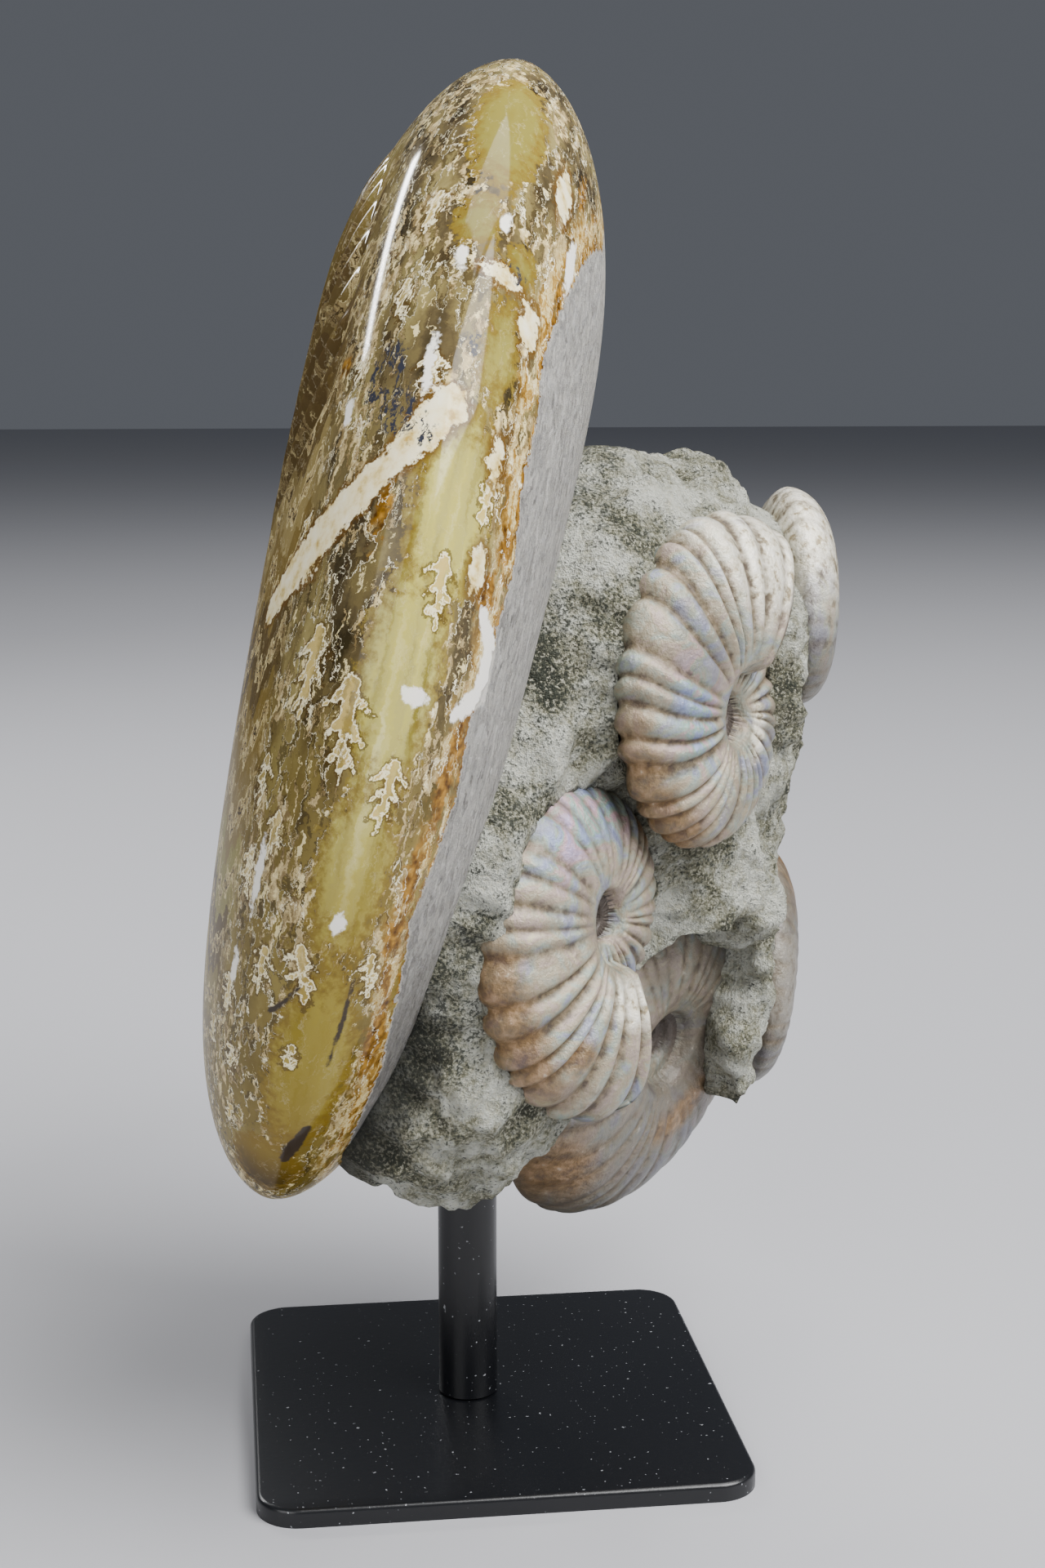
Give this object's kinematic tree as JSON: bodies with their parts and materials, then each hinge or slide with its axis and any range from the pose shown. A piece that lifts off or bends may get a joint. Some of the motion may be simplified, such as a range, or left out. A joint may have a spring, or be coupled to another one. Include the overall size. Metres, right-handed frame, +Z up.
{
  "type": "ammonite on stand",
  "caption": "Large polished fossil ammonite on edge with small ribbed ammonites in sandstone, held on a steel post and a square plate.",
  "frame": {"origin": "middle of the base plate's underside", "axes": "+Z up along the post, +X towards the side with the small ammonites, -Y towards the near edge of the large ammonite"},
  "size_m": [0.1073, 0.2004, 0.2247],
  "materials": {
    "stand": "black paint, satin",
    "sandstone": "rough granular grey-green sandstone",
    "polished_ammonite": "polished honey calcite with cream shell and suture lines",
    "pearly_shell": "mother-of-pearl shell, satin, tan in the grooves"
  },
  "bodies": {
    "root": {"base_plate": "stand", "post": "stand", "matrix": "sandstone", "large_ammonite": "polished_ammonite", "small_ammonite_upper": "pearly_shell", "small_ammonite_middle": "pearly_shell", "small_ammonite_bottom": "pearly_shell", "small_ammonite_upper_back": "pearly_shell", "small_ammonite_lower_back": "pearly_shell"}
  },
  "joints": []
}
